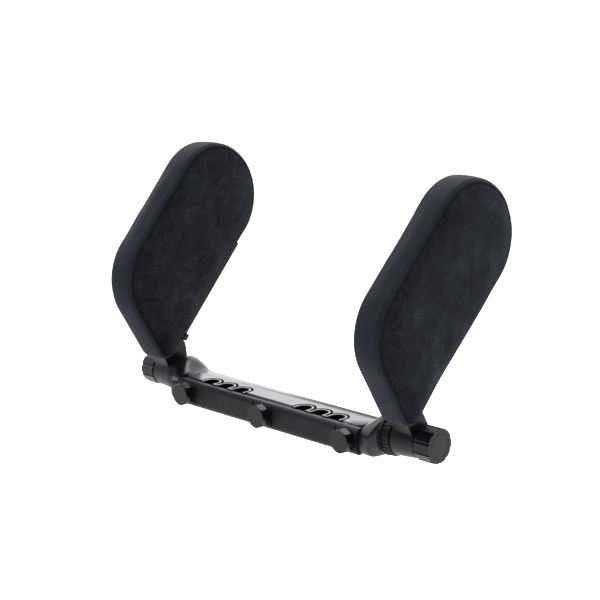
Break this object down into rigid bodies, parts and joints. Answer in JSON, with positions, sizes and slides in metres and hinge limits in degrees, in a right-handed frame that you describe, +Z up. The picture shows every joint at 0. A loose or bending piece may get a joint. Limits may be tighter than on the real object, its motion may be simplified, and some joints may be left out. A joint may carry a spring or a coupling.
{
  "type": "headrest side support",
  "caption": "Bar that clamps on the posts of a seat's headrest, with a padded wing at each end that turns about the bar and is locked by a knob.",
  "frame": {"origin": "middle of the bar's flat underside", "axes": "+X along the bar to the sitter's end with the right wing, -Y towards the clamp knobs, +Z up"},
  "size_m": [0.337, 0.1527, 0.2161],
  "materials": {
    "black_plastic": "fine grain",
    "smooth_plastic": "satin",
    "knob_plastic": "satin",
    "white_plastic": "plain",
    "rubber": "matte",
    "steel": "zinc plated",
    "foam": "open-cell foam",
    "velour": "short pile"
  },
  "bodies": {
    "bar": {"main_body": "smooth_plastic", "bottom_cover": "black_plastic", "cover_screws": "steel", "clamp_nuts": "steel", "left_post_liner": "black_plastic", "right_post_liner": "black_plastic", "left_end_ring": "black_plastic", "right_end_ring": "black_plastic", "left_end_bolt": "steel", "right_end_bolt": "steel", "left_friction_washer": "white_plastic", "right_friction_washer": "white_plastic"},
    "clamp": {"clamp_bar": "black_plastic", "clamp_pad": "rubber", "screw_clips": "steel"},
    "left_clamp_knob_set": {"left_clamp_knob": "knob_plastic", "left_clamp_screw": "steel"},
    "centre_clamp_knob_set": {"centre_clamp_knob": "knob_plastic", "centre_clamp_screw": "steel"},
    "right_clamp_knob_set": {"right_clamp_knob": "knob_plastic", "right_clamp_screw": "steel"},
    "left_wing": {"left_collar": "black_plastic", "left_collar_bush": "white_plastic", "left_neck_screw": "steel", "left_wing_arm": "black_plastic", "left_wing_plate": "black_plastic", "left_plate_screws": "steel", "left_pad_foam": "foam", "left_pad_cover": "velour"},
    "left_thrust": {"left_thrust_washer": "steel"},
    "left_knob_set": {"left_end_knob": "knob_plastic", "left_knob_nut": "steel", "left_knob_cap": "knob_plastic"},
    "right_wing": {"right_collar": "black_plastic", "right_collar_bush": "white_plastic", "right_neck_screw": "steel", "right_wing_arm": "black_plastic", "right_wing_plate": "black_plastic", "right_plate_screws": "steel", "right_pad_foam": "foam", "right_pad_cover": "velour"},
    "right_thrust": {"right_thrust_washer": "steel"},
    "right_knob_set": {"right_end_knob": "knob_plastic", "right_knob_nut": "steel", "right_knob_cap": "knob_plastic"}
  },
  "joints": [
    {"name": "clamp_slide", "type": "slide", "parent": "bar", "child": "clamp", "axis": [0, -1, 0], "range_m": [0, 0.004]},
    {"name": "left_clamp_knob_turn", "type": "hinge", "parent": "clamp", "child": "left_clamp_knob_set", "pos_m": [-0.094, -0.023, 0.012], "axis": [0, -1, 0], "range_deg": [0, 1801]},
    {"name": "centre_clamp_knob_turn", "type": "hinge", "parent": "clamp", "child": "centre_clamp_knob_set", "pos_m": [0, -0.023, 0.012], "axis": [0, -1, 0], "range_deg": [0, 1801]},
    {"name": "right_clamp_knob_turn", "type": "hinge", "parent": "clamp", "child": "right_clamp_knob_set", "pos_m": [0.094, -0.023, 0.012], "axis": [0, -1, 0], "range_deg": [0, 1801]},
    {"name": "left_wing_turn", "type": "hinge", "parent": "bar", "child": "left_wing", "pos_m": [-0.1416, 0.006, 0.0175], "axis": [1, 0, 0], "range_deg": [-47, 133]},
    {"name": "left_knob_travel", "type": "slide", "parent": "bar", "child": "left_thrust", "axis": [-1, 0, 0], "range_m": [0, 0.0012]},
    {"name": "left_knob_turn", "type": "hinge", "parent": "left_thrust", "child": "left_knob_set", "pos_m": [-0.16, 0.006, 0.0175], "axis": [-1, 0, 0], "range_deg": [0, 433]},
    {"name": "right_wing_turn", "type": "hinge", "parent": "bar", "child": "right_wing", "pos_m": [0.1416, 0.006, 0.0175], "axis": [1, 0, 0], "range_deg": [-47, 133]},
    {"name": "right_knob_travel", "type": "slide", "parent": "bar", "child": "right_thrust", "axis": [1, 0, 0], "range_m": [0, 0.0012]},
    {"name": "right_knob_turn", "type": "hinge", "parent": "right_thrust", "child": "right_knob_set", "pos_m": [0.16, 0.006, 0.0175], "axis": [1, 0, 0], "range_deg": [0, 433]}
  ],
  "couplings": [
    {"joint": "left_clamp_knob_turn", "follows": "clamp_slide", "rad_per_m": 7854},
    {"joint": "centre_clamp_knob_turn", "follows": "clamp_slide", "rad_per_m": 7854},
    {"joint": "right_clamp_knob_turn", "follows": "clamp_slide", "rad_per_m": 7854},
    {"joint": "left_knob_turn", "follows": "left_knob_travel", "rad_per_m": 6283.2},
    {"joint": "right_knob_turn", "follows": "right_knob_travel", "rad_per_m": 6283.2}
  ]
}
